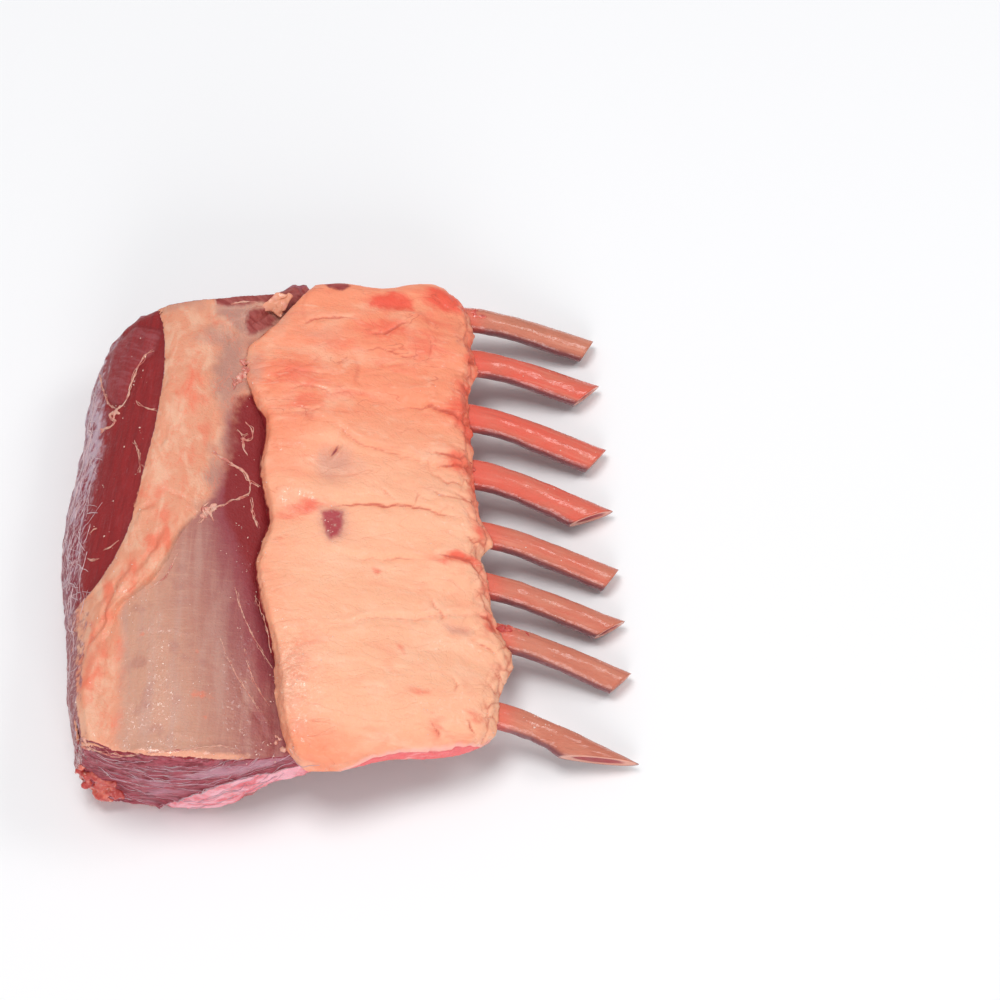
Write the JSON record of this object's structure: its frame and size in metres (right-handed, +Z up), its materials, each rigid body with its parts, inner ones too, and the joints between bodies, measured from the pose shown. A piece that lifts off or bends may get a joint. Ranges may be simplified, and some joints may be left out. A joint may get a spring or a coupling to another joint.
{
  "type": "rack of lamb",
  "caption": "Raw frenched rack of lamb: a loin under silverskin and a fat cap, lying on its bone side, with bare rib ends fanned out along one side.",
  "frame": {"origin": "under the middle of the rack's box, on the surface that it lies on", "axes": "+X across the rack from the chine side to the rib tips, +Y along the back from the loin end to the shoulder end, +Z up"},
  "size_m": [0.2144, 0.2116, 0.0515],
  "materials": {
    "lean": "wet raw muscle, part of it under silverskin",
    "fat": "soft raw fat, slightly moist",
    "bone": "scraped bone with a thin moist film"
  },
  "bodies": {
    "root": {"lean_meat": "lean", "fat_cap": "fat", "back_fat_band": "fat", "rib_1": "bone", "rib_2": "bone", "rib_3": "bone", "rib_4": "bone", "rib_5": "bone", "rib_6": "bone", "rib_7": "bone", "rib_8": "bone"}
  },
  "joints": []
}
